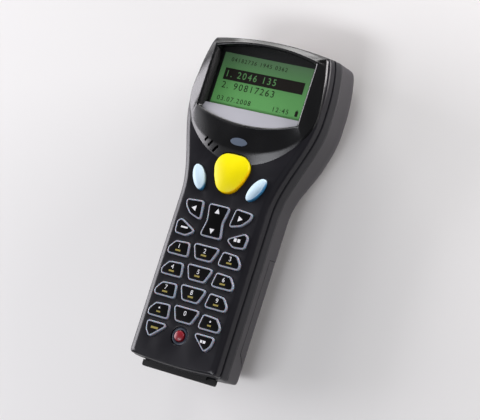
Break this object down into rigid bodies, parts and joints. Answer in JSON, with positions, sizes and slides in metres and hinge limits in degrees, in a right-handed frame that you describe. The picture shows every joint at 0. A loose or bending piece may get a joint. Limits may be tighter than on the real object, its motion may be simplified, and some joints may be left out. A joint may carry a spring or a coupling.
{
  "type": "portable barcode data terminal",
  "caption": "Hand-held data terminal with a wide display head, a sunken screen, a domed scan button, a keypad on a narrower handle and a hinged battery cover.",
  "frame": {"origin": "centre of the bounding box seen along Z, at the level of the back of the head", "axes": "+X across the face to the right, +Y from the handle to the head, +Z out of the keypad face"},
  "size_m": [0.077, 0.169, 0.036],
  "materials": {
    "case": "fine matte texture",
    "seal": "plain",
    "window": "clear, polished",
    "trim": "silver lacquer",
    "display": "green reflective display",
    "frame": "black",
    "diffuser": "milky",
    "mat": "plain",
    "board": "green solder mask",
    "chip": "moulded",
    "lens": "translucent grey",
    "engine": "moulded",
    "steel": "plain",
    "scan_pane": "dark red, polished",
    "battery": "film sleeve",
    "gold": "plated",
    "key": "black tops with pale translucent rims",
    "red_key": "plain",
    "scan_key": "satin",
    "pale_key": "satin, slightly translucent"
  },
  "bodies": {
    "case": {"front_shell": "case", "rear_shell": "case", "case_seal": "seal", "display_window": "window", "display_trim": "trim", "lcd_panel": "display", "lcd_frame": "frame", "backlight_plate": "diffuser", "keypad_mat": "mat", "main_board": "board", "board_parts": "chip", "status_led_lens": "lens", "status_led": "diffuser", "buzzer": "chip", "scan_engine": "engine", "scan_bracket": "steel", "scan_window": "scan_pane", "battery_pack": "battery", "battery_contacts": "gold", "backup_cell": "steel", "dock_connector": "chip", "dock_pins": "gold", "case_screws": "steel", "screw_inserts": "gold"},
    "key_0": {"key_0": "key"},
    "key_1": {"key_1": "key"},
    "key_2": {"key_2": "key"},
    "key_3": {"key_3": "key"},
    "key_4": {"key_4": "key"},
    "key_5": {"key_5": "key"},
    "key_6": {"key_6": "key"},
    "key_7": {"key_7": "key"},
    "key_8": {"key_8": "key"},
    "key_9": {"key_9": "key"},
    "key_low_left": {"key_low_left": "key"},
    "key_low_right": {"key_low_right": "key"},
    "key_left": {"key_left": "key"},
    "key_right": {"key_right": "key"},
    "key_updown": {"key_updown": "key"},
    "key_escape": {"key_escape": "key"},
    "key_back": {"key_back": "key"},
    "key_alpha": {"key_alpha": "key"},
    "key_function": {"key_function": "key"},
    "key_power": {"key_power": "red_key"},
    "scan_button": {"scan_button": "scan_key"},
    "side_button_left": {"side_button_left": "pale_key"},
    "side_button_right": {"side_button_right": "pale_key"},
    "battery_cover": {"battery_cover": "case"}
  },
  "joints": [
    {"name": "key_0_press", "type": "slide", "parent": "case", "child": "key_0", "axis": [0, 0, -1], "range_m": [0, 0.001], "stiffness_N_per_m": 1500, "springref_m": -0.0003},
    {"name": "key_1_press", "type": "slide", "parent": "case", "child": "key_1", "axis": [0, 0, -1], "range_m": [0, 0.001], "stiffness_N_per_m": 1500, "springref_m": -0.0003},
    {"name": "key_2_press", "type": "slide", "parent": "case", "child": "key_2", "axis": [0, 0, -1], "range_m": [0, 0.001], "stiffness_N_per_m": 1500, "springref_m": -0.0003},
    {"name": "key_3_press", "type": "slide", "parent": "case", "child": "key_3", "axis": [0, 0, -1], "range_m": [0, 0.001], "stiffness_N_per_m": 1500, "springref_m": -0.0003},
    {"name": "key_4_press", "type": "slide", "parent": "case", "child": "key_4", "axis": [0, 0, -1], "range_m": [0, 0.001], "stiffness_N_per_m": 1500, "springref_m": -0.0003},
    {"name": "key_5_press", "type": "slide", "parent": "case", "child": "key_5", "axis": [0, 0, -1], "range_m": [0, 0.001], "stiffness_N_per_m": 1500, "springref_m": -0.0003},
    {"name": "key_6_press", "type": "slide", "parent": "case", "child": "key_6", "axis": [0, 0, -1], "range_m": [0, 0.001], "stiffness_N_per_m": 1500, "springref_m": -0.0003},
    {"name": "key_7_press", "type": "slide", "parent": "case", "child": "key_7", "axis": [0, 0, -1], "range_m": [0, 0.001], "stiffness_N_per_m": 1500, "springref_m": -0.0003},
    {"name": "key_8_press", "type": "slide", "parent": "case", "child": "key_8", "axis": [0, 0, -1], "range_m": [0, 0.001], "stiffness_N_per_m": 1500, "springref_m": -0.0003},
    {"name": "key_9_press", "type": "slide", "parent": "case", "child": "key_9", "axis": [0, 0, -1], "range_m": [0, 0.001], "stiffness_N_per_m": 1500, "springref_m": -0.0003},
    {"name": "key_low_left_press", "type": "slide", "parent": "case", "child": "key_low_left", "axis": [0, 0, -1], "range_m": [0, 0.001], "stiffness_N_per_m": 1500, "springref_m": -0.0003},
    {"name": "key_low_right_press", "type": "slide", "parent": "case", "child": "key_low_right", "axis": [0, 0, -1], "range_m": [0, 0.001], "stiffness_N_per_m": 1500, "springref_m": -0.0003},
    {"name": "key_left_press", "type": "slide", "parent": "case", "child": "key_left", "axis": [0, 0, -1], "range_m": [0, 0.001], "stiffness_N_per_m": 1500, "springref_m": -0.0003},
    {"name": "key_right_press", "type": "slide", "parent": "case", "child": "key_right", "axis": [0, 0, -1], "range_m": [0, 0.001], "stiffness_N_per_m": 1500, "springref_m": -0.0003},
    {"name": "key_updown_rock", "type": "hinge", "parent": "case", "child": "key_updown", "pos_m": [0, -0.00872, 0.03025], "axis": [1, 0, 0], "range_deg": [-3.5, 3.5], "stiffness_Nm_per_rad": 0.12},
    {"name": "key_escape_press", "type": "slide", "parent": "case", "child": "key_escape", "axis": [0, 0, -1], "range_m": [0, 0.001], "stiffness_N_per_m": 1500, "springref_m": -0.0003},
    {"name": "key_back_press", "type": "slide", "parent": "case", "child": "key_back", "axis": [0, 0, -1], "range_m": [0, 0.001], "stiffness_N_per_m": 1500, "springref_m": -0.0003},
    {"name": "key_alpha_press", "type": "slide", "parent": "case", "child": "key_alpha", "axis": [0, 0, -1], "range_m": [0, 0.001], "stiffness_N_per_m": 1500, "springref_m": -0.0003},
    {"name": "key_function_press", "type": "slide", "parent": "case", "child": "key_function", "axis": [0, 0, -1], "range_m": [0, 0.001], "stiffness_N_per_m": 1500, "springref_m": -0.0003},
    {"name": "key_power_press", "type": "slide", "parent": "case", "child": "key_power", "axis": [0, 0, -1], "range_m": [0, 0.001], "stiffness_N_per_m": 1500, "springref_m": -0.0003},
    {"name": "scan_button_press", "type": "slide", "parent": "case", "child": "scan_button", "axis": [0, 0, -1], "range_m": [0, 0.001], "stiffness_N_per_m": 2000, "springref_m": -0.0003},
    {"name": "side_button_left_press", "type": "slide", "parent": "case", "child": "side_button_left", "axis": [0, 0, -1], "range_m": [0, 0.001], "stiffness_N_per_m": 2000, "springref_m": -0.0003},
    {"name": "side_button_right_press", "type": "slide", "parent": "case", "child": "side_button_right", "axis": [0, 0, -1], "range_m": [0, 0.001], "stiffness_N_per_m": 2000, "springref_m": -0.0003},
    {"name": "battery_cover_hinge", "type": "hinge", "parent": "case", "child": "battery_cover", "pos_m": [0, -0.0181, 0.0107], "axis": [1, 0, 0], "range_deg": [0, 40]}
  ]
}
